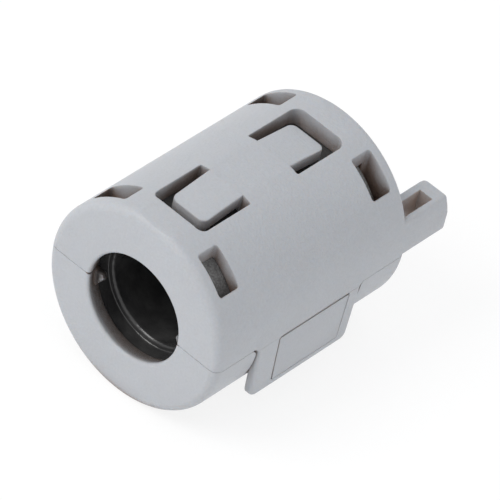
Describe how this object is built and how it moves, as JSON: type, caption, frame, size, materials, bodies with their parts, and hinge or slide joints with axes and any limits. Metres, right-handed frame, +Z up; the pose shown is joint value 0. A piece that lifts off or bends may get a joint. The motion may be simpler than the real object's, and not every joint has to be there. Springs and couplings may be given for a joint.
{
  "type": "clamp-on ferrite core",
  "caption": "Round clamp-on ferrite core: grey hinged plastic case with snap strap, spring tongues and tie loop around a split dark ferrite ring.",
  "frame": {"origin": "on the bore's axis, at mid-length of the case without its tie loop; the parting plane is Z = 0", "axes": "+Y along the bore towards the tie loop, +X towards the strap latch, +Z up, from the resting strip of the lower half to the upper half"},
  "size_m": [0.025, 0.036, 0.023],
  "materials": {
    "case_plastic": "fine satin, light bluish grey polyamide",
    "ferrite": "sintered, near black, satin"
  },
  "bodies": {
    "lower_half": {"lower_case": "case_plastic", "lower_ferrite": "ferrite", "film_hinge": "case_plastic"},
    "upper_half": {"upper_case": "case_plastic", "upper_ferrite": "ferrite"}
  },
  "joints": [
    {"name": "case_hinge", "type": "hinge", "parent": "lower_half", "child": "upper_half", "pos_m": [-0.0126, 0, 0], "axis": [0, -1, 0], "range_deg": [0, 180]}
  ]
}
